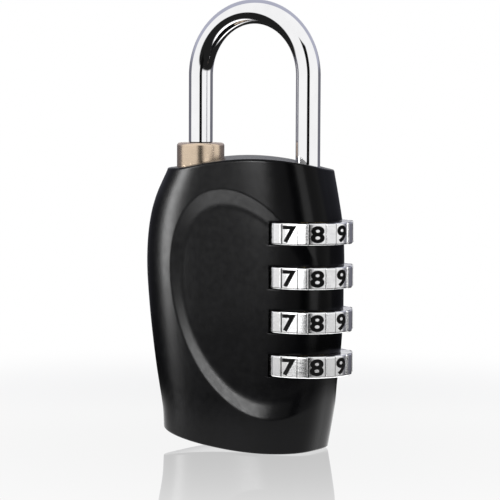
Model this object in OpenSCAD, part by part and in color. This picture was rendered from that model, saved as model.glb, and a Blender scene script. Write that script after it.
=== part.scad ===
// Luggage padlock with four number dials, at real size in millimetres.
// Frame: +Z up along the shackle legs, front face towards -Y, +X right,
// origin under the middle of the bounding box.

/* [Casing] */
// Height of the casing, from its lowest point to the crown of its top
body_h = 47.65; // [46:0.05:50]
// Half of the casing's thickness, front to back
half_thick = 8; // [7.9:0.1:8.5]
// Exponent of the rounded horizontal section, larger is squarer
squareness = 3; // [2.6:0.1:3.4]
// Crown radius of the top face
top_crown_r = 55; // [45:1:70]
// Skew of the top's ridge, sideways per millimetre from front to back
crown_skew = 0.68; // [0:0.01:0.8]
// Crown radius of the bottom face
bottom_crown_r = 90; // [80:5:120]
// Gap that is left between the two casing halves
seam_gap = 0.02; // [0.02:0.01:0.1]

/* [Oval dish] */
// Half of the oval's long axis
dish_long = 19.5; // [18:0.5:20]
// Half of the oval's short axis
dish_short = 13.5; // [12:0.5:14]
// Lean of the long axis, its top towards the short leg
dish_lean = 26.5; // [20:0.5:30]
// Depth of the dish floor below the face
dish_depth = 0.45; // [0.3:0.05:0.8]
// Width of the sloping band inside the oval's rim
dish_band = 1.9; // [1.5:0.1:3]

/* [Shackle] */
// Diameter of the shackle wire
wire_d = 4; // [3.9:0.05:4]
// Distance between the two legs
leg_gap = 20.9; // [20:0.1:21]
// Height of the arch's centre above the bottom
arch_z = 60.95; // [60:0.05:64]
// Diameter of the guide collar around the short leg
collar_d = 7.9; // [7.5:0.1:8.2]
// Height of the collar's top above the bottom
collar_top_z = 49.8; // [49.5:0.1:50]

/* [Dials] */
// Number of dials
dials = 4; // [4]
// Diameter over the dial's ridges
dial_d = 15.2; // [15:0.1:15.3]
// Height of one dial
dial_h = 3.5; // [3.4:0.1:3.6]
// Distance from one dial to the next, which is also the shackle's travel
pitch = 7.1; // [7.1:0.1:7.2]
// Height of the top dial's middle above the bottom
top_dial_z = 35.8; // [35.6:0.1:36]
// Depth of the number pads below the ridges
pad_depth = 0.25; // [0.2:0.05:0.3]
// Direction of one number pad's middle, from the front towards +X
pad_angle = 8.5; // [0:0.5:36]

/* [Hidden] */
$fn = 64;

wire_r = wire_d / 2;
dial_r = dial_d / 2;
dial_x = 11.05;                         // the dial axis, which is the long leg's
short_x = dial_x - leg_gap;             // the short leg
run_gap = 0.1;                          // clearance of the leg in its guides

// ---- Casing outline: [height, left edge, right edge], the widest row at z = 30
outline = [[1.4, -15.0, 13.45], [5, -15.25, 14.25], [10, -16.15, 15.2], [16, -17.2, 16.1],
           [23, -18.15, 16.6], [30, -18.65, 16.5], [36, -18.2, 16.2], [41, -16.8, 15.35],
           [45.9, -14.35, 14.3]];
rows = 30;                              // levels from bottom to top
arc_steps = 56;                         // points around one level
low_x = 6.25;                           // where the bottom touches the ground
crown_x = 0.95;                         // where the top's ridge crosses the middle plane
edge_low = outline[0][0];
edge_high = outline[len(outline) - 1][0];

crown_drop = 1.95;                      // the crown levels out this far down
function top_z(x, y) =
    let (drop = pow(x - crown_x + crown_skew * y, 2) / (2 * top_crown_r))
    body_h - drop / pow(1 + pow(drop / crown_drop, 8), 0.125);
function bottom_z(x) = pow(x - low_x, 2) / (2 * bottom_crown_r);

// Smooth curve through the outline's rows, column 1 for the left edge, 2 for the right
function slope(i, c) =
    let (a = max(i - 1, 0), b = min(i + 1, len(outline) - 1))
    (outline[b][c] - outline[a][c]) / (outline[b][0] - outline[a][0]);
function hermite(i, c, z) =
    let (h = outline[i + 1][0] - outline[i][0], t = (z - outline[i][0]) / h)
    outline[i][c] * (1 + 2 * t) * pow(1 - t, 2) + outline[i + 1][c] * t * t * (3 - 2 * t)
    + h * (slope(i, c) * t * pow(1 - t, 2) - slope(i + 1, c) * t * t * (1 - t));
function edge_x(c, z, i = 0) =
    z <= outline[i + 1][0] || i == len(outline) - 2 ? hermite(i, c, z) : edge_x(c, z, i + 1);

// Dish depth at a point of the face: 0 at the oval's rim, full inside its band
dish_x = 4.15;
dish_z = 24.2;
function oval(x, z) =
    let (dx = x - dish_x, dz = z - dish_z,
         s = dz * cos(dish_lean) - dx * sin(dish_lean),
         t = dx * cos(dish_lean) + dz * sin(dish_lean))
    norm([s / dish_long, t / dish_short]);
function sink(x, z) =
    let (t = max(0, min(1, (1 - oval(x, z)) * dish_short / dish_band)))
    dish_depth * sin(90 * t);

function signed_pow(v, p) = sign(v) * pow(abs(v), p);
function shell_point(row, k) =
    let (f = row / rows, angle = 360 * k / arc_steps,
         level = edge_low + f * (edge_high - edge_low),
         left = edge_x(1, level), right = edge_x(2, level),
         x = (left + right) / 2 + (right - left) / 2 * signed_pow(cos(angle), 2 / squareness),
         y = half_thick * signed_pow(sin(angle), 2 / squareness),
         z = (1 - f) * bottom_z(x) + f * top_z(x, y))
    [x, y - sign(y) * min(abs(y), sink(x, z)), z];

// Body of the casing before it is split, bored and slotted
module casing_form() {
    points = [for (row = [0:rows], k = [0:arc_steps - 1]) shell_point(row, k)];
    last = rows * arc_steps;
    half = arc_steps / 2;
    walls = [for (row = [0:rows - 1], k = [0:arc_steps - 1])
        let (a = row * arc_steps + k, b = row * arc_steps + (k + 1) % arc_steps)
        each [[a, b + arc_steps, b], [a, a + arc_steps, b + arc_steps]]];
    ends = [for (k = [0:half - 1]) let (m = (arc_steps - k) % arc_steps, n = arc_steps - k - 1)
        each concat(
            k == 0 ? [] : [[k, k + 1, m], [last + k, last + m, last + k + 1]],
            k == half - 1 ? [] : [[m, k + 1, n], [last + m, last + n, last + k + 1]])];
    polyhedron(points, concat(walls, ends));
}

// ---- Inside of the casing
sleeve_r = 3.4;
sleeve_h = pitch - 0.1;
stack_top = top_dial_z + pitch / 2;
stack_low = top_dial_z - (dials - 0.5) * pitch;
fin_r = 2.75;
fin_h = 1.2;
fin_lift = 0.25;                        // fin above the floor of its chamber
chamber_r = 2.9;
chamber_h = fin_h + 2 * fin_lift;
washer_h = 0.6;
spring_seat_z = 7.6;                    // floor under the reset spring
reset_bore_r = 3;
leg_low = 4;                            // end of the long leg
floor_z = 3.2;                          // inner floor under the long leg
collar_r = collar_d / 2;
collar_low = 45.3;
spigot_r = 3;
spigot_low = 43.4;

function dial_z(n) = top_dial_z - (n - 1) * pitch;

// Space for the long leg, sleeves, dials, springs and collar
module inner_space() {
    translate([dial_x, 0, stack_low - 0.9])
        cylinder(r = sleeve_r + 0.2, h = stack_top - stack_low + 0.9);
    translate([dial_x, 0, spring_seat_z]) cylinder(r = reset_bore_r, h = pitch);
    translate([dial_x, 0, floor_z]) cylinder(r = wire_r + run_gap, h = body_h);
    translate([dial_x, 0, stack_top - 0.1]) cylinder(r = chamber_r + 0.15, h = chamber_h + 0.1);
    for (n = [1:dials]) translate([dial_x, 0, dial_z(n) - dial_h / 2 - 0.15])
        cylinder(r = dial_r + 0.2, h = dial_h + 0.3);
    translate([short_x, 0, collar_low]) cylinder(r = collar_r + 0.03, h = 5);
    translate([short_x, 0, spigot_low]) cylinder(r = spigot_r + 0.02, h = 5);
    for (n = [1:dials]) leaf_pocket(n);
    // hollow that keeps the casting's walls even
    translate([-10.5, -4.6, 9]) cube([10, 9.2, 28]);
    dowels(0.02);
}

dowel_r = 1;
dowel_places = [[-12.9, 8], [-13.6, 36], [1.4, 40.6], [4.5, 6]];
module dowels(extra) {
    for (p = dowel_places) translate([p[0], 3.4 + extra, p[1]]) rotate([90, 0, 0])
        cylinder(r = dowel_r + extra, h = 6.8 + 2 * extra, $fn = 32);
}

module casing_half(side) {
    difference() {
        casing_form();
        inner_space();
        translate([-40, side > 0 ? -40 : -seam_gap / 2, -10])
            cube([80, 40 + seam_gap / 2, 80]);
    }
}

module front_casing() {
    color([0.03, 0.03, 0.035]) casing_half(-1);
}

module rear_casing() {
    color([0.03, 0.03, 0.035]) casing_half(1);
}

module dowel_pins() {
    color("silver") dowels(0);
}

// ---- Shackle: one bent wire, with four fins on the leg that runs through the dials
tip_r = 1.8;
tip_low = 45.3;
spring_bore_r = 1.35;
spring_bore_top = 12.4;
module shackle() {
    color([0.8, 0.8, 0.82]) difference() {
        union() {
            translate([dial_x - leg_gap / 2, 0, arch_z]) rotate([90, 0, 0])
                rotate_extrude(angle = 180) translate([leg_gap / 2, 0]) circle(r = wire_r);
            translate([dial_x, 0, leg_low]) cylinder(r = wire_r, h = arch_z - leg_low);
            translate([short_x, 0, collar_top_z + 0.05])
                cylinder(r = wire_r, h = arch_z - collar_top_z - 0.05);
            translate([short_x, 0, tip_low]) cylinder(r = tip_r, h = 5);
            for (n = [1:dials]) translate([dial_x - 0.6, 0, dial_z(n) - pitch / 2 + 0.05 + fin_lift])
                intersection() {
                    translate([0, 1, 0]) cube([1.2, 4, fin_h]);
                    translate([0.6, 0, 0]) cylinder(r = fin_r, h = fin_h);
                }
        }
        translate([dial_x, 0, leg_low - 1])
            cylinder(r = spring_bore_r, h = spring_bore_top - leg_low + 1);
    }
}

module shackle_collar() {
    rim = 0.5;
    top = collar_top_z - collar_low;
    drop = collar_low - spigot_low;
    color([0.72, 0.58, 0.42]) translate([short_x, 0, collar_low]) rotate_extrude()
        difference() {
            union() {
                square([collar_r, top - rim]);
                square([collar_r - rim, top]);
                translate([collar_r - rim, top - rim]) circle(r = rim);
                translate([0, -drop]) square([spigot_r, drop + 1]);
            }
            translate([-5, -10]) square([5 + wire_r + run_gap + 0.05, 20]);
        }
}

// ---- Springs: one wire swept along a coil with closed ends
function coil_point(r, z0, h, turns, u) =
    let (a = 360 * turns * u, e = 0.5 / turns, rise = max(0, min(1, (u - e) / (1 - 2 * e))))
    [dial_x + r * cos(a), r * sin(a), z0 + h * rise];
module coil(r, z0, h, turns, wire, per_turn, sides) {
    n = ceil(turns * per_turn);
    points = [for (i = [0:n], k = [0:sides - 1])
        let (u = i / n, a = 360 * turns * u, b = 360 * k / sides, c = coil_point(r, z0, h, turns, u))
        [c[0] + wire * cos(b) * cos(a), c[1] + wire * cos(b) * sin(a), c[2] + wire * sin(b)]];
    walls = [for (i = [0:n - 1], k = [0:sides - 1])
        let (p = i * sides + k, q = i * sides + (k + 1) % sides)
        each [[p, q, q + sides], [p, q + sides, p + sides]]];
    caps = [[for (k = [sides - 1:-1:0]) k], [for (k = [0:sides - 1]) n * sides + k]];
    polyhedron(points, concat(walls, caps));
}

module lift_spring() {
    wire = 0.18;
    color("silver") coil(1.0, floor_z + wire + 0.02, spring_bore_top - floor_z - 2 * wire - 0.06,
                         10, wire, 12, 6);
}

module reset_spring() {
    wire = 0.2;
    low = spring_seat_z + wire + 0.02;
    high = stack_low - washer_h - wire - 0.07;
    color("silver") coil(2.45, low, high - low, 3, wire, 16, 6);
}

module reset_washer() {
    color("silver") translate([dial_x, 0, stack_low - washer_h]) difference() {
        cylinder(r = reset_bore_r - 0.1, h = washer_h - 0.05);
        translate([0, 0, -1]) cylinder(r = wire_r + run_gap, h = 3);
    }
}

// ---- Dials: ridged ring, keyed to a gated sleeve
positions = 10;
step = 360 / positions;
ridge_angle = 12;
ring_bore_r = sleeve_r + 0.1;
key_r = 3.9;
key_w = 1;
key_low = 0.2;                          // keys sit in the upper half of the ring

module wedge(middle, width) {
    rotate([0, 0, middle - 90]) linear_extrude(dial_h)
        polygon([[0, 0], [20 * cos(width / 2), -20 * sin(width / 2)],
                 [20 * cos(width / 2), 20 * sin(width / 2)]]);
}

module dial_ring(n) {
    edge = 0.2;
    color([0.85, 0.85, 0.86]) translate([dial_x, 0, dial_z(n) - dial_h / 2]) difference() {
        union() {
            cylinder(r = dial_r - pad_depth, h = dial_h);
            intersection() {
                rotate_extrude() polygon([[0, 0], [dial_r - edge, 0], [dial_r, edge],
                                          [dial_r, dial_h - edge], [dial_r - edge, dial_h], [0, dial_h]]);
                for (k = [0:positions - 1]) wedge(pad_angle + (k + 0.5) * step, ridge_angle);
            }
        }
        translate([0, 0, -1]) cylinder(r = ring_bore_r, h = dial_h + 2);
        translate([0, 0, -1]) cylinder(r = key_r + 0.15, h = dial_h / 2 + 1);
        for (k = [0:positions - 1]) rotate([0, 0, k * step])
            translate([0, -key_w / 2 - 0.1, dial_h / 2]) cube([key_r + 0.15, key_w + 0.2, dial_h]);
    }
}

module dial_sleeve(n) {
    gate_w = 1.6;
    color([0.75, 0.66, 0.4]) translate([dial_x, 0, dial_z(n) - pitch / 2 + 0.05]) difference() {
        union() {
            cylinder(r = sleeve_r, h = sleeve_h);
            for (k = [0, 5]) rotate([0, 0, k * step])
                translate([0, -key_w / 2, pitch / 2 + key_low]) cube([key_r, key_w, 1.3]);
        }
        translate([0, 0, -1]) cylinder(r = wire_r + run_gap, h = sleeve_h + 2);
        translate([0, 0, -1]) cylinder(r = chamber_r, h = chamber_h + 1);
        intersection() {
            translate([-gate_w / 2, 0, -1]) cube([gate_w, 5, sleeve_h + 2]);
            translate([0, 0, -1]) cylinder(r = chamber_r, h = sleeve_h + 2);
        }
    }
}

// ---- Detent leaves: one bowed spring strip beside each dial, behind its left side
leaf_t = 0.25;
leaf_w = 2.4;
leaf_out = dial_r - pad_depth + 0.05;   // where the strip's bow meets a number pad
leaf_back = leaf_out + 1.6;
leaf_turn = pad_angle - 3 * step;       // direction of the pad that it rests on

// Everything in here is drawn with +X pointing out from the dial axis
module at_leaf(n) {
    translate([dial_x, 0, dial_z(n)]) rotate([0, 0, leaf_turn - 90]) children();
}

module leaf_pocket(n) {
    at_leaf(n) translate([dial_r, -leaf_w / 2 - 0.2, -3.3])
        cube([leaf_back - dial_r + 0.05, leaf_w + 0.4, 6.6]);
}

module detent_leaf(n) {
    foot = 3.2;
    reach = 1.3;
    color("silver") at_leaf(n) rotate([90, 0, 0]) translate([0, 0, -leaf_w / 2])
        linear_extrude(leaf_w) polygon([
            [leaf_back, -foot], [leaf_back, -reach], [leaf_out + leaf_t, -0.4],
            [leaf_out + leaf_t, 0.4], [leaf_back, reach], [leaf_back, foot],
            [leaf_back - leaf_t, foot], [leaf_back - leaf_t, reach], [leaf_out, 0.4],
            [leaf_out, -0.4], [leaf_back - leaf_t, -reach], [leaf_back - leaf_t, -foot]]);
}

front_casing();
rear_casing();
dowel_pins();
shackle();
shackle_collar();
lift_spring();
reset_spring();
reset_washer();
for (n = [1:dials]) {
    dial_ring(n);
    dial_sleeve(n);
    detent_leaf(n);
}
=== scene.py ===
"""Looks of the luggage padlock: lacquered casing, chrome shackle, plated collar and printed dials."""
import math

import bmesh
import bpy
import numpy as np
from mathutils import Euler, Matrix, Vector

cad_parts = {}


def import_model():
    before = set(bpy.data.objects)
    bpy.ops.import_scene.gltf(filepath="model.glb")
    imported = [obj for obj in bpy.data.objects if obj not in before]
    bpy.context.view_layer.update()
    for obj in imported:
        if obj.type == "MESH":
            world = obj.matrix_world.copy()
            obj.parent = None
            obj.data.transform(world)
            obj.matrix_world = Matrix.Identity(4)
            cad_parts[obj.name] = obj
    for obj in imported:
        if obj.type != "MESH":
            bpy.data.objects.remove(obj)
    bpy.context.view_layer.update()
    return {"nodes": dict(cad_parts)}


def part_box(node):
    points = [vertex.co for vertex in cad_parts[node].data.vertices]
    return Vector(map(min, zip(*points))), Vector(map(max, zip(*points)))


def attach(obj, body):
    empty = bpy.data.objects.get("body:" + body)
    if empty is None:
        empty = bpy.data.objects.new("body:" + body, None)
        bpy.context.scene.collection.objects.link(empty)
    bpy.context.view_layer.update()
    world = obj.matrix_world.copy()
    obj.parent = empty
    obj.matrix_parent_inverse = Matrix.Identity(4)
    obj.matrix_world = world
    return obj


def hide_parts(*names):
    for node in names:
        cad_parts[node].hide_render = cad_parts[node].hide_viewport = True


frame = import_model()
MM = 0.001

# ---------------------------------------------------------------- sizes taken from the frame, in mm
def box_mm(node):
    """The low and the high corner of a node's box, in mm."""
    return [np.array(corner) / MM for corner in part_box(node)]


ring_low, ring_high = box_mm("dial_ring_1")
second_low, second_high = box_mm("dial_ring_2")
sleeve_low, sleeve_high = box_mm("dial_sleeve_1")
shackle_low, shackle_high = box_mm("shackle")
collar_low, collar_high = box_mm("shackle_collar")
DIALS = 4
DIAL_R = 7.6
DIAL_X = (sleeve_low[0] + sleeve_high[0]) / 2
DIAL_H = ring_high[2] - ring_low[2]
TOP_DIAL_Z = (ring_low[2] + ring_high[2]) / 2
PITCH = TOP_DIAL_Z - (second_low[2] + second_high[2]) / 2
WIRE_R = -shackle_low[1]
SHORT_X = (collar_low[0] + collar_high[0]) / 2
COLLAR_R = (collar_high[0] - collar_low[0]) / 2
COLLAR_TOP = collar_high[2]
HALF_THICK = box_mm("rear_casing")[1][1]


def dial_z(n):
    """Height of dial n's middle, counted from the top."""
    return TOP_DIAL_Z - (n - 1) * PITCH


# ---------------------------------------------------------------- camera
CAMERA_AZ = math.radians(32.8)
CAMERA_EL = math.radians(4.42)
CAMERA_ROLL = math.radians(-0.26)
AIM = Vector((3.38, -5.23, 32.78)) * MM
DISTANCE = 0.372
LENS = 165.3


def add_camera():
    data = bpy.data.cameras.new("camera")
    camera = bpy.data.objects.new("camera", data)
    bpy.context.scene.collection.objects.link(camera)
    back = Vector((math.sin(CAMERA_AZ) * math.cos(CAMERA_EL),
                   -math.cos(CAMERA_AZ) * math.cos(CAMERA_EL), math.sin(CAMERA_EL)))
    turn = Euler((math.pi / 2 - CAMERA_EL, 0, CAMERA_AZ)).to_matrix().to_4x4()
    camera.matrix_world = (Matrix.Translation(AIM + back * DISTANCE) @ turn
                           @ Matrix.Rotation(-CAMERA_ROLL, 4, "Z"))
    data.lens = LENS
    data.sensor_width = 36
    data.clip_start = 0.01
    data.clip_end = 20
    bpy.context.scene.camera = camera


# ---------------------------------------------------------------- materials
NOISE_LOW, NOISE_HIGH = 0.3, 0.7    # between these lie nearly all values of a noise


class Shader:
    """A principled material and short ways to add the nodes that feed it."""

    def __init__(self, name, **sockets):
        self.material = bpy.data.materials.new(name)
        self.material.use_nodes = True
        self.nodes = self.material.node_tree.nodes
        self.links = self.material.node_tree.links
        self.bsdf = self.nodes["Principled BSDF"]
        for socket, value in sockets.items():
            self.bsdf.inputs[socket.replace("_", " ")].default_value = value
        self.coords = self.add("ShaderNodeTexCoord").outputs["Object"]

    def add(self, kind, **values):
        node = self.nodes.new(kind)
        for name, value in values.items():
            if name in node.bl_rna.properties:
                setattr(node, name, value)
            else:
                node.inputs[name.replace("_", " ")].default_value = value
        return node

    def link(self, source, target):
        self.links.new(source, target)

    def stretched(self, scale):
        """Object coordinates, in metres, times a scale per axis."""
        mapping = self.add("ShaderNodeMapping")
        mapping.inputs["Scale"].default_value = scale
        self.link(self.coords, mapping.inputs["Vector"])
        return mapping.outputs["Vector"]

    def noise(self, scale, detail=4.0):
        """Noise whose cells are about 1 mm at scale 1000."""
        noise = self.add("ShaderNodeTexNoise", Scale=1.0, Detail=detail, Roughness=0.55)
        self.link(self.stretched(scale), noise.inputs["Vector"])
        return noise.outputs["Fac"]

    def roughness(self, value, low, high):
        """Roughness from one value to another, by a noise value."""
        rescale = self.add("ShaderNodeMapRange", From_Min=NOISE_LOW, From_Max=NOISE_HIGH,
                           To_Min=low, To_Max=high)
        self.link(value, rescale.inputs["Value"])
        self.link(rescale.outputs["Result"], self.bsdf.inputs["Roughness"])

    def color(self, value, color_a, color_b):
        """Base colour between two colours, by a noise value."""
        ramp = self.add("ShaderNodeValToRGB")
        for end, place, tint in zip(ramp.color_ramp.elements, (NOISE_LOW, NOISE_HIGH), (color_a, color_b)):
            end.position = place
            end.color = (*tint, 1)
        self.link(value, ramp.inputs["Fac"])
        self.link(ramp.outputs["Color"], self.bsdf.inputs["Base Color"])

    def bump(self, height, distance, strength):
        bump = self.add("ShaderNodeBump", Strength=strength, Distance=distance)
        self.link(height, bump.inputs["Height"])
        self.link(bump.outputs["Normal"], self.bsdf.inputs["Normal"])


def black_lacquer():
    """Sprayed black lacquer on die-cast zinc: slight orange peel and uneven gloss."""
    s = Shader("black_lacquer", IOR=1.18)
    s.color(s.noise((260, 260, 260), detail=3), (0.0003, 0.0003, 0.0004), (0.0009, 0.0009, 0.0012))
    s.roughness(s.noise((900, 900, 900)), 0.21, 0.26)
    s.bump(s.noise((1400, 1400, 1400), detail=2), 0.000002, 0.5)
    return s.material


def chrome_wire():
    """Bright chrome with faint drawing lines along the wire."""
    s = Shader("chrome_wire", Metallic=1.0)
    s.color(s.noise((300, 300, 120)), (0.86, 0.86, 0.87), (0.93, 0.93, 0.94))
    s.roughness(s.noise((2500, 2500, 300)), 0.025, 0.07)
    s.bump(s.noise((5000, 5000, 250), detail=3), 0.0000015, 0.3)
    return s.material


def champagne_metal():
    """Satin champagne plating with fine turning lines round the collar."""
    s = Shader("champagne_metal", Metallic=1.0)
    s.color(s.noise((500, 500, 500)), (0.70, 0.56, 0.42), (0.76, 0.61, 0.46))
    s.roughness(s.noise((700, 700, 2600)), 0.25, 0.29)
    s.bump(s.noise((60, 60, 9000), detail=3), 0.000002, 0.06)
    return s.material


def dial_silver():
    """Satin silver plating of the dials with a light brushing round the ring."""
    s = Shader("dial_silver", Metallic=1.0)
    s.color(s.noise((450, 450, 450)), (0.88, 0.88, 0.89), (0.95, 0.95, 0.95))
    s.roughness(s.noise((800, 800, 5000)), 0.16, 0.26)
    s.bump(s.noise((150, 150, 9000), detail=2), 0.000002, 0.15)
    return s.material


def dial_ink():
    """Matt black filling of the numbers, and the same black for the painted shadow lines at the ridges'
    feet.
    """
    s = Shader("dial_ink", Specular_IOR_Level=0.1)
    s.color(s.noise((4000, 4000, 4000)), (0.002, 0.002, 0.002), (0.006, 0.006, 0.006))
    s.roughness(s.noise((3000, 3000, 3000)), 0.42, 0.6)
    s.bump(s.noise((9000, 9000, 9000), detail=2), 0.000002, 0.4)
    return s.material


def sleeve_brass():
    """Turned brass of the gated sleeves."""
    s = Shader("sleeve_brass", Metallic=1.0)
    s.color(s.noise((600, 600, 600)), (0.66, 0.48, 0.20), (0.80, 0.62, 0.30))
    s.roughness(s.noise((400, 400, 6000)), 0.22, 0.40)
    s.bump(s.noise((40, 40, 12000), detail=2), 0.000004, 0.4)
    return s.material


def spring_steel():
    """Bright spring steel with a grey cast."""
    s = Shader("spring_steel", Metallic=1.0)
    s.color(s.noise((800, 800, 800)), (0.45, 0.46, 0.48), (0.62, 0.62, 0.64))
    s.roughness(s.noise((1500, 1500, 1500)), 0.22, 0.38)
    s.bump(s.noise((6000, 6000, 6000), detail=2), 0.000002, 0.3)
    return s.material


MATERIALS = {make.__name__: make() for make in (
    black_lacquer, chrome_wire, champagne_metal, dial_silver, dial_ink, sleeve_brass, spring_steel)}


# ---------------------------------------------------------------- mesh helpers
SHARP = 35                      # degrees between faces from which an edge is drawn sharp


def piece(name, material, points, faces, body, sharp=SHARP):
    """A new object from points in mm, on a body, with its material and smooth shading."""
    mesh = bpy.data.meshes.new(name)
    mesh.from_pydata([tuple(MM * v for v in p) for p in points], [], faces)
    mesh.validate()
    made = bpy.data.objects.new(name, mesh)
    bpy.context.scene.collection.objects.link(made)
    clean(mesh)
    mesh.materials.append(MATERIALS[material])
    mesh.shade_smooth()
    mesh.set_sharp_from_angle(angle=math.radians(sharp))
    if body:
        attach(made, body)
    return made


def clean(mesh):
    """Merges doubled points, drops empty faces, closes what is open and turns the normals outwards."""
    bm = bmesh.new()
    bm.from_mesh(mesh)
    bmesh.ops.remove_doubles(bm, verts=bm.verts, dist=0.002 * MM)
    bmesh.ops.dissolve_degenerate(bm, edges=bm.edges, dist=0.001 * MM)
    rim = [e for e in bm.edges if e.is_boundary]
    if rim:
        bmesh.ops.holes_fill(bm, edges=rim)
    bmesh.ops.recalc_face_normals(bm, faces=bm.faces)
    bm.to_mesh(mesh)
    bm.free()


def grid_faces(rows, columns, closed=False):
    """Quads of a grid of points stored row by row; closed joins the last column to the first."""
    faces = []
    for r in range(rows - 1):
        for c in range(columns if closed else columns - 1):
            d = (c + 1) % columns
            faces.append((r * columns + c, r * columns + d, (r + 1) * columns + d, (r + 1) * columns + c))
    return faces


def lathe(name, material, profile, x, body, sides=128):
    """A closed ring or plug from a closed profile of (radius, height), turned about a vertical axis."""
    closed = [*profile, profile[0]]
    points = [(x + r * math.cos(a), r * math.sin(a), z) for r, z in closed
              for a in (2 * math.pi * k / sides for k in range(sides))]
    return piece(name, material, points, grid_faces(len(closed), sides, closed=True), body)


def corner(center, radius, start, end, steps=8):
    """Points of a rounding: an arc of the given radius from one angle to another, in degrees."""
    return [(center[0] + radius * math.cos(a), center[1] + radius * math.sin(a))
            for a in np.radians(np.linspace(start, end, steps))]


def boolean(target, tools, operation):
    """Applies boolean modifiers, one for each tool, and removes the tools."""
    for tool in tools:
        modifier = target.modifiers.new("cut", "BOOLEAN")
        modifier.operation = operation
        modifier.solver = "EXACT"
        modifier.object = tool
    view = bpy.context.evaluated_depsgraph_get()
    result = bpy.data.meshes.new_from_object(target.evaluated_get(view))
    target.modifiers.clear()
    old = target.data
    target.data = result
    bpy.data.meshes.remove(old)
    for tool in tools:
        bpy.data.objects.remove(tool)
    result.shade_smooth()
    result.set_sharp_from_angle(angle=math.radians(SHARP))


# ---------------------------------------------------------------- casing
# height, left edge, right edge
OUTLINE = np.array([[1.4, -15.0, 13.45], [5, -15.25, 14.25], [10, -16.15, 15.2],
                    [16, -17.2, 16.1], [23, -18.15, 16.6], [30, -18.65, 16.5],
                    [36, -18.2, 16.2], [41, -16.8, 15.35], [45.9, -14.35, 14.3]])
SQUARENESS = 3.0                # power of the sections' superellipse
BODY_H = 47.65                  # height of the top's ridge
TOP_CROWN_R = 55.0
CROWN_X, CROWN_SKEW = 0.95, 0.68    # where the ridge stands at y = 0, and how far it leans with y
CROWN_DROP = 1.95               # the most that the top falls below its ridge
BOTTOM_CROWN_R = 90.0
LOW_X = 6.25                    # where the bottom is lowest
EDGE_R = 0.35                   # rounding of the top and bottom edges
SLOT_EDGE_R = 0.06              # rounding of the slots' mouths
SLOT_R = DIAL_R + 0.1
SLOT_HALF = DIAL_H / 2 + 0.1
DISH = dict(x=4.15, z=24.2, long=19.5, short=13.5, lean=math.radians(26.5), depth=0.45, band=1.9)
DISH_CRISP, DISH_SOFT = 0.06, 0.25      # rounding of the band's rim and foot, in parts of the band
COLUMNS = 210


def top_z(x, y):
    """The top's height: a shallow crown whose ridge runs askew, levelling out at two corners."""
    drop = (x - CROWN_X + CROWN_SKEW * y) ** 2 / (2 * TOP_CROWN_R)
    return BODY_H - drop / (1 + (drop / CROWN_DROP) ** 8) ** 0.125


def bottom_z(x, y):
    """The bottom's height: a shallow trough that runs from front to rear."""
    return (x - LOW_X) ** 2 / (2 * BOTTOM_CROWN_R) + 0 * y


def edge_x(column, z):
    """The left (1) or right (2) edge of the outline at a height, on a smooth curve through its rows."""
    heights, values = OUTLINE[:, 0], OUTLINE[:, column]
    last = len(heights) - 1
    i = int(np.clip(np.searchsorted(heights, z) - 1, 0, last - 1))
    slopes = []
    for k in (i, i + 1):
        a, b = max(k - 1, 0), min(k + 1, last)
        slopes.append((values[b] - values[a]) / (heights[b] - heights[a]))
    h = heights[i + 1] - heights[i]
    t = (z - heights[i]) / h
    return (values[i] * (1 + 2 * t) * (1 - t) ** 2 + values[i + 1] * t * t * (3 - 2 * t)
            + h * (slopes[0] * t * (1 - t) ** 2 - slopes[1] * t * t * (1 - t)))


def smooth(t):
    """A smooth step from 0 to 1."""
    t = np.clip(t, 0, 1)
    return t * t * (3 - 2 * t)


def sink(x, z):
    """Depth of the oval dish: a crisp rim and a sloping band that runs out into the floor."""
    dx, dz = x - DISH["x"], z - DISH["z"]
    s = dz * math.cos(DISH["lean"]) - dx * math.sin(DISH["lean"])
    t = dx * math.cos(DISH["lean"]) + dz * math.sin(DISH["lean"])
    oval = np.hypot(s / DISH["long"], t / DISH["short"])
    inside = (1 - oval) * DISH["short"] / DISH["band"]
    rim = np.maximum(inside + DISH_CRISP, 0) ** 2 / (4 * DISH_CRISP)
    ramp = np.where(inside < DISH_CRISP, rim, inside)
    foot = 1 - np.maximum(1 + DISH_SOFT - ramp, 0) ** 2 / (4 * DISH_SOFT)
    ramp = np.where(ramp > 1 - DISH_SOFT, foot, ramp)
    return DISH["depth"] * ramp


def column_angles():
    """Angles that space the points of a section evenly along its arc, from the left end to the right."""
    fine = np.linspace(math.pi, 0, 20001)
    power, half_width = 2 / SQUARENESS, 17.5
    x = half_width * np.sign(np.cos(fine)) * np.abs(np.cos(fine)) ** power
    y = 8 * np.abs(np.sin(fine)) ** power
    run = np.concatenate([[0], np.cumsum(np.hypot(np.diff(x), np.diff(y)))])
    inner = np.linspace(0.3, run[-1] - 0.3, COLUMNS)
    ends = np.array([0, 0.02, 0.06])
    places = np.concatenate([ends, inner, run[-1] - ends[::-1]])
    return np.interp(places, run, fine)


ANGLES = column_angles()


def section(side, level, z_of, inset=0.0):
    """One level of a half, from the left seam round the face to the right seam; side -1 is the front."""
    left, right = edge_x(1, level), edge_x(2, level)
    a, b, power = (right - left) / 2, HALF_THICK, 2 / SQUARENESS
    cos, sin = np.cos(ANGLES), np.sin(ANGLES)
    u = np.sign(cos) * np.abs(cos) ** power
    v = np.abs(sin) ** power
    nx = np.sign(u) * np.abs(u) ** (SQUARENESS - 1) / a
    ny = v ** (SQUARENESS - 1) / b
    size = np.hypot(nx, ny)
    x = (left + right) / 2 + a * u - inset * nx / size
    y = b * v - inset * ny / size
    z = z_of(x, side * y)
    y = np.maximum(y - np.where(y > 0.5, sink(x, z), 0), 0)
    y[0] = y[-1] = 0
    return np.stack([x, side * y, z], axis=1)


def flat(level):
    """A level of one height all over."""
    return lambda x, y: np.full_like(x, level)


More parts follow.
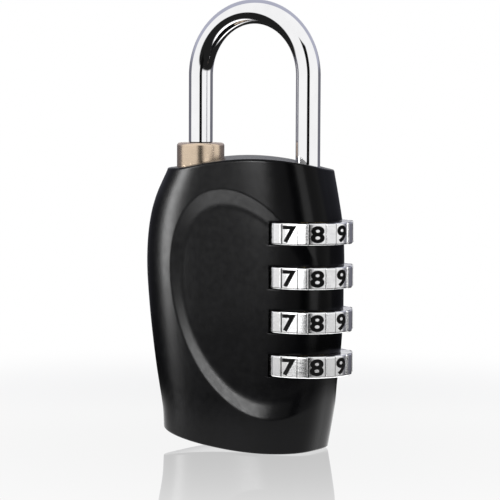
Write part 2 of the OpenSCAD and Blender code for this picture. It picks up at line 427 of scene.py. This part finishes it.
def bitten(side, row):
    """A level with the dial slot cut out, and the first of the points that follow the slot's wall."""
    away = np.hypot(row[:, 0] - DIAL_X, row[:, 1]) - SLOT_R
    first = int(np.argmax(away < 0))
    t = away[first - 1] / (away[first - 1] - away[first])
    start = row[first - 1] * (1 - t) + row[first] * t
    angle = math.atan2(abs(start[1]), start[0] - DIAL_X)
    turned = np.linspace(angle, math.pi, len(row) - first)
    out = row.copy()
    out[first:, 0] = DIAL_X + SLOT_R * np.cos(turned)
    out[first:, 1] = side * np.maximum(SLOT_R * np.sin(turned), 0)
    return out, first


def mouth(side, edge, way):
    """The rounded rows that lead into a slot's flat face; way is 1 below the slot and -1 above it."""
    first = bitten(side, section(side, edge, flat(edge)))[1]
    share = smooth((np.arange(len(ANGLES)) - first + 2) / 2)    # all inside the mouth, none beside it
    rows = []
    for a in np.radians(np.linspace(0, 90, 5))[1:]:
        level = edge - way * SLOT_EDGE_R * (1 - math.sin(a))
        rows.append(section(side, level, flat(level), SLOT_EDGE_R * (1 - math.cos(a)) * share))
    return rows


def cap_rows(row, z_of):
    """From the middle plane out to a row along the top or bottom."""
    rows = []
    for s in np.linspace(0, 1, 26)[:-1]:
        inner = row * (1, s, 1)
        inner[:, 2] = row[:, 2] + z_of(row[:, 0], s * row[:, 1]) - z_of(row[:, 0], row[:, 1])
        rows.append(inner)
    return rows


def level_rows(side):
    """All levels of half a casing from the bottom's middle line to the top's."""
    slots = sorted((dial_z(n) - SLOT_HALF, dial_z(n) + SLOT_HALF) for n in range(1, DIALS + 1))
    low_flat, high_flat = slots[0][0] - 1, slots[-1][1] + 1
    edge_low, edge_high = OUTLINE[0, 0], OUTLINE[-1, 0]
    blend = np.linspace(0, 1, 50)[1:]           # steps between a curved end and the flat levels
    rows = cap_rows(section(side, edge_low, bottom_z, EDGE_R), bottom_z)
    for a in np.radians(np.linspace(0, 90, 6)):
        lift = EDGE_R * (1 - math.cos(a))
        rows.append(section(side, edge_low, lambda x, y: bottom_z(x, y) + lift, EDGE_R * (1 - math.sin(a))))
    for f in blend:
        level = edge_low + f * (low_flat - edge_low)
        rows.append(section(side, level, lambda x, y: (1 - f) * (bottom_z(x, y) + EDGE_R) + f * low_flat))
    z = low_flat
    for slot_low, slot_high in slots:
        for level in np.linspace(z, slot_low - SLOT_EDGE_R, 14)[1:]:
            rows.append(section(side, level, flat(level)))
        rows += mouth(side, slot_low, 1)
        for level in np.linspace(slot_low, slot_high, 14):
            rows.append(bitten(side, section(side, level, flat(level)))[0])
        rows += mouth(side, slot_high, -1)[::-1]
        z = slot_high + SLOT_EDGE_R
        rows.append(section(side, z, flat(z)))
    for level in np.linspace(z, high_flat, 5)[1:]:
        rows.append(section(side, level, flat(level)))
    for f in blend:
        level = high_flat + f * (edge_high - high_flat)
        rows.append(section(side, level, lambda x, y: (1 - f) * high_flat + f * (top_z(x, y) - EDGE_R)))
    for a in np.radians(np.linspace(0, 90, 6))[1:]:
        lift = EDGE_R * (1 - math.sin(a))
        rows.append(section(side, edge_high, lambda x, y: top_z(x, y) - lift, EDGE_R * (1 - math.cos(a))))
    return rows + cap_rows(rows[-1], top_z)[::-1]


SEAT_Z = 45.3                   # the shoulder that the collar sits on
LEG_BORE_R = 2.1
SPRING_BORE_R = 3.0             # chamber of the reset spring
SLEEVE_BORE_R = 3.6
FIN_BORE_R = 3.05               # room above the sleeves for the top fin's lift
SPIGOT_BORE_R = 3.02
SEAM_GAP = 0.01                 # each half's distance from the middle plane
ABOVE = 60                      # a height clear above the casing


def casing_half(name, side):
    """Front (-1) or rear (1) half of the casing, bored for the leg, the sleeves and the collar."""
    rows = level_rows(side)
    points = np.concatenate(rows) + (0, side * SEAM_GAP, 0)
    half = piece(name + "_shell", "black_lacquer", points, grid_faces(len(rows), len(ANGLES)), "casing")
    stack_top = TOP_DIAL_Z + PITCH / 2
    fin_top = stack_top + 1.7
    leg_bore = [(0, 3.2), (LEG_BORE_R, 3.2), (LEG_BORE_R, 7.6), (SPRING_BORE_R, 7.6),
                (SPRING_BORE_R, 10.1), (SLEEVE_BORE_R, 10.1), (SLEEVE_BORE_R, stack_top),
                (FIN_BORE_R, stack_top), (FIN_BORE_R, fin_top), (LEG_BORE_R, fin_top),
                (LEG_BORE_R, ABOVE), (0, ABOVE)]
    seat_r = COLLAR_R + 0.02
    collar_bore = [(0, 43.4), (SPIGOT_BORE_R, 43.4), (SPIGOT_BORE_R, SEAT_Z), (seat_r, SEAT_Z),
                   (seat_r, ABOVE), (0, ABOVE)]
    tools = [lathe("bore", "black_lacquer", leg_bore, DIAL_X, None),
             lathe("bore", "black_lacquer", collar_bore, SHORT_X, None)]
    boolean(half, tools, "DIFFERENCE")
    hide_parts(name)
    return half


# ---------------------------------------------------------------- shackle and collar
ARCH_R = (DIAL_X - SHORT_X) / 2
ARCH_Z = shackle_high[2] - ARCH_R - WIRE_R
LEG_LOW = shackle_low[2]
TIP_R, TIP_LOW = 1.8, 45.3


def shackle():
    """The bent wire as one tube, with the short leg's thin tip and the four fins of the long leg."""
    sides = 72
    path = []                   # x, z, direction angle of the section's plane, radius
    round_r = 0.4               # rounding of the tip
    for r, z in [(0, TIP_LOW), *corner((TIP_R - round_r, TIP_LOW + round_r), round_r, -90, 0, 6),
                 (TIP_R, COLLAR_TOP - 0.25), (TIP_R, COLLAR_TOP - 0.05),
                 (WIRE_R - 0.1, COLLAR_TOP + 0.05), (WIRE_R, COLLAR_TOP + 0.15)]:
        path.append((SHORT_X, z, 0.0, r))
    for z in np.linspace(COLLAR_TOP + 0.4, ARCH_Z, 24)[:-1]:
        path.append((SHORT_X, z, 0.0, WIRE_R))
    mid = (DIAL_X + SHORT_X) / 2
    for a in np.linspace(0, math.pi, 121):
        path.append((mid - ARCH_R * math.cos(a), ARCH_Z + ARCH_R * math.sin(a), a, WIRE_R))
    for z in np.linspace(ARCH_Z, LEG_LOW + 0.3, 90)[1:]:
        path.append((DIAL_X, z, math.pi, WIRE_R))
    bore_r, bore_top = 1.35, 12.4
    for r, z in [(WIRE_R - 0.3, LEG_LOW), (bore_r, LEG_LOW), (bore_r, bore_top), (0, bore_top + 0.4)]:
        path.append((DIAL_X, z, math.pi, r))
    points = []
    for x, z, turn, r in path:
        for k in range(sides):
            a = 2 * math.pi * k / sides
            side, depth = r * math.cos(a), r * math.sin(a)
            points.append((x + side * math.cos(turn), depth, z - side * math.sin(turn)))
    made = piece("shackle_wire", "chrome_wire", points, grid_faces(len(path), sides, closed=True), "shackle")
    boolean(made, [fin(n) for n in range(1, DIALS + 1)], "UNION")
    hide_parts("shackle")


def fin(n):
    """One fin of the long leg: a rounded lug that rests in its sleeve's chamber."""
    base = dial_z(n) - PITCH / 2 + 0.3
    outer = [(-0.6, 1.2), (-0.6, 2.55), (-0.45, 2.7), (0.45, 2.7), (0.6, 2.55), (0.6, 1.2)]
    points = [(DIAL_X + x, y, base + z) for z in (0, 1.2) for x, y in outer]
    n_side = len(outer)
    faces = [(k, (k + 1) % n_side, n_side + (k + 1) % n_side, n_side + k) for k in range(n_side)]
    faces += [tuple(range(n_side - 1, -1, -1)), tuple(range(n_side, 2 * n_side))]
    return piece("fin", "chrome_wire", points, faces, None)


def collar():
    """Turned collar: rounded rim, small bevel at the bore and a spigot that sits in the casing."""
    r, top, rim = COLLAR_R, COLLAR_TOP, 0.5
    bore = WIRE_R + 0.15
    profile = [(bore, collar_low[2]), (3.0, collar_low[2]), (3.0, SEAT_Z), (r, SEAT_Z),
               *corner((r - rim, top - rim), rim, 0, 90, 10),
               *corner((bore + 0.3, top - 0.3), 0.3, 90, 180, 6)]
    made = lathe("collar_turned", "champagne_metal", profile, SHORT_X, "casing", sides=160)
    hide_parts("shackle_collar")


# ---------------------------------------------------------------- dials
PAD_DEPTH = 0.25
PAD_R = DIAL_R - PAD_DEPTH
PAD_ANGLE = 8.5                 # direction of the number 7, from the front towards +X, in degrees
STEP = 36.0
RIDGE = 12.0
RIDGE_WALL = 0.9                # the sloping side of a ridge
FIRST_NUMBER = 7
DIGIT_H = 2.75
DIGIT_STRETCH = 1.28            # the numbers are wide and bold
NUMBER_RISE = 0.02              # how far a number stands out of its pad
SUNK = 0.04                     # how deep its foot sits in the pad
# the dark lines beside a pad are painted shadow: black strips where the ridges' shade falls
LEFT_SHADOW, RIGHT_SHADOW = 1.1, 0.6    # widths of the dark lines beside a pad, in degrees


def ring_columns():
    """Angle and rise, 0 for a pad and 1 for a ridge, of each column round a dial."""
    half, wall = RIDGE / 2, RIDGE_WALL
    rise = [(-wall, 0.0), (-0.75 * wall, 0.08), (-0.35 * wall, 0.6), (0.1, 0.9), (0.8, 0.985), (1.8, 1.0)]
    one = [(-STEP / 2 + s, 0.0) for s in np.linspace(0, STEP / 2 - half - wall, 9)[:-1]]
    one += [(-half + a, v) for a, v in rise]
    one += [(a, 1.0) for a in (-2.5, 0.0, 2.5)]
    one += [(half - a, v) for a, v in rise[::-1]]
    one += [(STEP / 2 - s, 0.0) for s in np.linspace(0, STEP / 2 - half - wall, 9)[:0:-1]]
    return [(PAD_ANGLE + STEP / 2 + STEP * n + a, v) for n in range(10) for a, v in one]


def dial_ring(n):
    """One dial: pads and ridges with rounded edges, and the stepped bore."""
    columns = ring_columns()
    zc, h = dial_z(n), DIAL_H / 2
    edge, bore, recess = 0.16, 3.5, 4.05
    lower = [(recess, 0, -h), (PAD_R - edge, 0.3, -h)]      # radius on a pad, what a ridge adds, height
    rises = corner((PAD_DEPTH - edge, edge), edge, -90, 0, 6)
    for (r, z), (g, _) in zip(corner((PAD_R - edge, -h + edge), edge, -90, 0, 6), rises):
        lower.append((r, g, z))
    lower.append((PAD_R, PAD_DEPTH, -h + 2 * edge))
    shape = lower + [(r, g, -z) for r, g, z in lower[:0:-1]]
    shape += [(bore + 0.12, 0, h), (bore, 0, h - 0.12), (bore, 0, 0), (recess, 0, 0), (recess, 0, -h)]
    points = []
    for r, g, z in shape:
        for a, rise in columns:
            radius = r + g * rise
            a = math.radians(a)
            points.append((DIAL_X + radius * math.sin(a), -radius * math.cos(a), zc + z))
    name = "dial_ring_%d" % n
    made = piece("dial_plated_%d" % n, "dial_silver", points,
                 grid_faces(len(shape), len(columns), closed=True), "dial_%d" % n, sharp=28)
    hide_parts(name)
    return made


def number(n, digit):
    """One printed number, wrapped round its pad as a thin solid."""
    curve = bpy.data.curves.new("number", "FONT")
    curve.body = str(digit)
    curve.align_x = "CENTER"
    curve.size = 1.0
    curve.offset = 0.035
    curve.resolution_u = 6
    text = bpy.data.objects.new("number", curve)
    bpy.context.scene.collection.objects.link(text)
    bpy.context.view_layer.update()
    face = bpy.data.meshes.new_from_object(text.evaluated_get(bpy.context.evaluated_depsgraph_get()))
    bpy.data.objects.remove(text)
    bm = bmesh.new()
    bm.from_mesh(face)
    bpy.data.meshes.remove(face)
    bmesh.ops.remove_doubles(bm, verts=bm.verts, dist=1e-4)
    bottom = min(v.co.y for v in bm.verts)
    top = max(v.co.y for v in bm.verts)
    middle = (min(v.co.x for v in bm.verts) + max(v.co.x for v in bm.verts)) / 2
    scale = DIGIT_H / (top - bottom)
    for x in np.linspace(-0.4, 0.4, 9):
        everything = bm.verts[:] + bm.edges[:] + bm.faces[:]
        bmesh.ops.bisect_plane(bm, geom=everything, plane_co=(middle + x, 0, 0), plane_no=(1, 0, 0))
    lid = bmesh.ops.extrude_face_region(bm, geom=bm.faces[:])
    raised = {v for v in lid["geom"] if isinstance(v, bmesh.types.BMVert)}
    angle = math.radians(PAD_ANGLE + STEP * (digit - FIRST_NUMBER))
    for v in bm.verts:
        radius = PAD_R + (NUMBER_RISE if v in raised else -SUNK)
        a = angle + (v.co.x - middle) * scale * DIGIT_STRETCH / PAD_R
        z = dial_z(n) + (v.co.y - (top + bottom) / 2) * scale
        v.co = (MM * (DIAL_X + radius * math.sin(a)), -MM * radius * math.cos(a), MM * z)
    bmesh.ops.recalc_face_normals(bm, faces=bm.faces)
    return bm


def foot_line(n, angle, width):
    """A thin dark line down the foot of a ridge: painted shadow of the ridge, as a thin black solid on the
    pad.
    """
    bm = bmesh.new()
    inner, outer, half = PAD_R - SUNK, PAD_R + 0.015, DIAL_H / 2 - 0.12
    corners = []
    for z in (-half, half):
        for a, r in ((angle, inner), (angle + width, inner), (angle + width, outer), (angle, outer)):
            a = math.radians(a)
            place = (DIAL_X + r * math.sin(a), -r * math.cos(a), dial_z(n) + z)
            corners.append(bm.verts.new([MM * v for v in place]))
    for k in range(4):
        bm.faces.new((corners[k], corners[(k + 1) % 4], corners[4 + (k + 1) % 4], corners[4 + k]))
    bm.faces.new(corners[3::-1])
    bm.faces.new(corners[4:])
    bmesh.ops.recalc_face_normals(bm, faces=bm.faces)
    return bm


def numbers(n):
    """The ten printed numbers of one dial and the painted shadow lines beside its ridges, as one piece."""
    whole = bmesh.new()
    foot = STEP / 2 - RIDGE / 2 - RIDGE_WALL
    for digit in range(10):
        middle = PAD_ANGLE + STEP * digit
        # the printed number, then the painted shadow lines at the feet of the ridges on either side
        for part in (number(n, digit), foot_line(n, middle - foot, LEFT_SHADOW),
                     foot_line(n, middle + foot - RIGHT_SHADOW, RIGHT_SHADOW)):
            mesh = bpy.data.meshes.new("part")
            part.to_mesh(mesh)
            part.free()
            whole.from_mesh(mesh)
            bpy.data.meshes.remove(mesh)
    mesh = bpy.data.meshes.new("dial_numbers_%d" % n)
    whole.to_mesh(mesh)
    whole.free()
    made = bpy.data.objects.new("dial_numbers_%d" % n, mesh)
    bpy.context.scene.collection.objects.link(made)
    mesh.materials.append(MATERIALS["dial_ink"])
    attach(made, "dial_%d" % n)


# ---------------------------------------------------------------- stage
class Fields:
    """Short ways to build colours from directions or places in a node tree."""

    def __init__(self, tree, vector):
        self.tree = tree
        self.vector = vector

    def dot(self, direction):
        node = self.tree.nodes.new("ShaderNodeVectorMath")
        node.operation = "DOT_PRODUCT"
        node.inputs[1].default_value = direction
        self.tree.links.new(self.vector, node.inputs[0])
        return node.outputs["Value"]

    def length(self):
        node = self.tree.nodes.new("ShaderNodeVectorMath")
        node.operation = "LENGTH"
        self.tree.links.new(self.vector, node.inputs[0])
        return node.outputs["Value"]

    def step(self, value, start, end, low_out=0.0, high_out=1.0):
        """A smooth step of a value from one output to another."""
        node = self.tree.nodes.new("ShaderNodeMapRange")
        node.interpolation_type = "SMOOTHSTEP"
        limits = {"From Min": start, "From Max": end, "To Min": low_out, "To Max": high_out}
        for name, limit in limits.items():
            node.inputs[name].default_value = limit
        self.tree.links.new(value, node.inputs["Value"])
        return node.outputs["Result"]

    def math(self, operation, a, b):
        node = self.tree.nodes.new("ShaderNodeMath")
        node.operation = operation
        for socket, value in zip(node.inputs, (a, b)):
            if isinstance(value, float):
                socket.default_value = value
            else:
                self.tree.links.new(value, socket)
        return node.outputs["Value"]

    def product(self, *values):
        result = values[0]
        for value in values[1:]:
            result = self.math("MULTIPLY", result, value)
        return result

    def mix(self, factor, a, b):
        """Between two colours, each a socket or a tuple."""
        node = self.tree.nodes.new("ShaderNodeMix")
        node.data_type = "RGBA"
        self.tree.links.new(factor, node.inputs["Factor"])
        for name, value in (("A", a), ("B", b)):
            if isinstance(value, tuple):
                node.inputs[name].default_value = (*value, 1)
            else:
                self.tree.links.new(value, node.inputs[name])
        return node.outputs["Result"]

    def camera_ray(self):
        return self.tree.nodes.new("ShaderNodeLightPath").outputs["Is Camera Ray"]


def heading(azimuth):
    """Level unit vector towards an azimuth, in degrees from the front towards +X."""
    a = math.radians(azimuth)
    return (math.sin(a), -math.cos(a), 0.0)


CAMERA_SIDE = math.degrees(CAMERA_AZ)
WHITE = (1.0, 1.0, 1.0)
DARK = (0.015, 0.015, 0.015)
BLACK = (0.005, 0.005, 0.005)


def world():
    """White backdrop for the camera; the object sees a white tent with a dark gap and a greyer back."""
    studio = bpy.data.worlds.new("studio")
    bpy.context.scene.world = studio
    studio.use_nodes = True
    tree = studio.node_tree
    background = tree.nodes["Background"]
    f = Fields(tree, tree.nodes.new("ShaderNodeTexCoord").outputs["Generated"])
    facing, sideways = f.dot(heading(CAMERA_SIDE)), f.dot(heading(CAMERA_SIDE + 90))
    upright = f.dot((0, 0, 1))
    # the gap that the camera looks through
    gap = f.product(f.step(sideways, -0.24, -0.18), f.step(sideways, 0.24, 0.18),
                    f.step(upright, 0.56, 0.5), f.step(facing, 0.0, 0.1))
    # the grey back of the tent, darker near the table, with white in its middle
    rear = f.step(facing, -0.20, -0.24)
    middle = f.product(f.step(facing, -0.92, -0.96), f.step(upright, 0.12, 0.15))
    color = f.mix(f.step(upright, 0.02, 0.22), (0.16, 0.16, 0.19), (0.46, 0.47, 0.57))
    color = f.mix(rear, WHITE, color)
    color = f.mix(middle, color, WHITE)
    color = f.mix(f.step(upright, -0.11, -0.17), color, DARK)
    color = f.mix(gap, color, BLACK)
    tree.links.new(f.mix(f.camera_ray(), color, WHITE), background.inputs["Color"])


def softbox(name, azimuth, elevation, distance, width, height, radiance, lit):
    """An area light that faces the object and lights some pieces; a radiance of 1 looks white."""
    data = bpy.data.lights.new(name, "AREA")
    data.shape = "RECTANGLE"
    data.size, data.size_y = width, height
    data.energy = radiance * math.pi * width * height
    light = bpy.data.objects.new(name, data)
    bpy.context.scene.collection.objects.link(light)
    a, e = math.radians(azimuth), math.radians(elevation)
    place = Vector((math.sin(a) * math.cos(e), -math.cos(a) * math.cos(e), math.sin(e))) * distance
    light.location = place + Vector((0, 0, 0.03))
    light.visible_camera = False
    receivers = bpy.data.collections.new(name)
    for made in lit:
        receivers.objects.link(made)
    light.light_linking.receiver_collection = receivers
    light.rotation_euler = place.to_track_quat("Z", "Y").to_euler()


def floor():
    """White table, lit from inside round the object, with a mirror image that fades away from it."""
    long, wide, sides = 0.17, 0.09, 96
    mesh = bpy.data.meshes.new("floor")
    toward, across = Vector(heading(CAMERA_SIDE)), Vector(heading(CAMERA_SIDE + 90))
    rim = [toward * long * math.cos(a) + across * wide * math.sin(a)
           for a in np.linspace(0, 2 * math.pi, sides + 1)[:-1]]
    mesh.from_pydata(rim, [], [tuple(range(sides))])
    made = bpy.data.objects.new("floor", mesh)
    bpy.context.scene.collection.objects.link(made)
    material = bpy.data.materials.new("floor")
    material.use_nodes = True
    tree = material.node_tree
    tree.nodes.clear()
    f = Fields(tree, tree.nodes.new("ShaderNodeTexCoord").outputs["Object"])
    away = f.length()
    glow = tree.nodes.new("ShaderNodeEmission")
    lamp = f.mix(f.step(away, 0.035, 0.055), (2.0, 2.0, 2.0), DARK)
    tree.links.new(f.mix(f.camera_ray(), lamp, WHITE), glow.inputs["Color"])
    gloss = tree.nodes.new("ShaderNodeBsdfGlossy")
    gloss.inputs["Roughness"].default_value = 0.02
    table = tree.nodes.new("ShaderNodeMixShader")
    beside = f.math("ABSOLUTE", f.dot(across), 0.0)
    mirror = f.product(f.camera_ray(), f.step(away, 0.0, 0.14, 0.46, 0.0), f.step(beside, 0.08, 0.045))
    tree.links.new(mirror, table.inputs["Fac"])
    tree.links.new(glow.outputs["Emission"], table.inputs[1])
    tree.links.new(gloss.outputs["BSDF"], table.inputs[2])
    out = tree.nodes.new("ShaderNodeOutputMaterial")
    tree.links.new(table.outputs["Shader"], out.inputs["Surface"])
    mesh.materials.append(material)


# ---------------------------------------------------------------- make everything
add_camera()
bpy.context.scene.view_settings.view_transform = "Standard"
world()
floor()
casing = [casing_half("front_casing", -1), casing_half("rear_casing", 1)]
shackle()
collar()
plated = [dial_ring(dial) for dial in range(1, DIALS + 1)]
for dial in range(1, DIALS + 1):
    numbers(dial)
softbox("left_box", -57, 9, 0.45, 0.09, 0.26, 34, casing)
softbox("front_box", -20, 6, 0.45, 0.12, 0.04, 62, casing)
softbox("low_box", -32, -19, 0.45, 0.14, 0.09, 15, casing)
softbox("right_box", 60, 10, 0.45, 0.22, 0.40, 3, casing)
softbox("dial_box", 5, 12, 0.45, 0.40, 0.24, 3.2, plated)

INNER = {"dowel_pins": "spring_steel", "lift_spring": "spring_steel", "reset_spring": "spring_steel",
         "reset_washer": "spring_steel"}
for dial in range(1, DIALS + 1):
    INNER["dial_sleeve_%d" % dial] = "sleeve_brass"
    INNER["detent_leaf_%d" % dial] = "spring_steel"
for node, material in INNER.items():
    target = frame["nodes"][node]
    target.data.materials.clear()
    target.data.materials.append(MATERIALS[material])
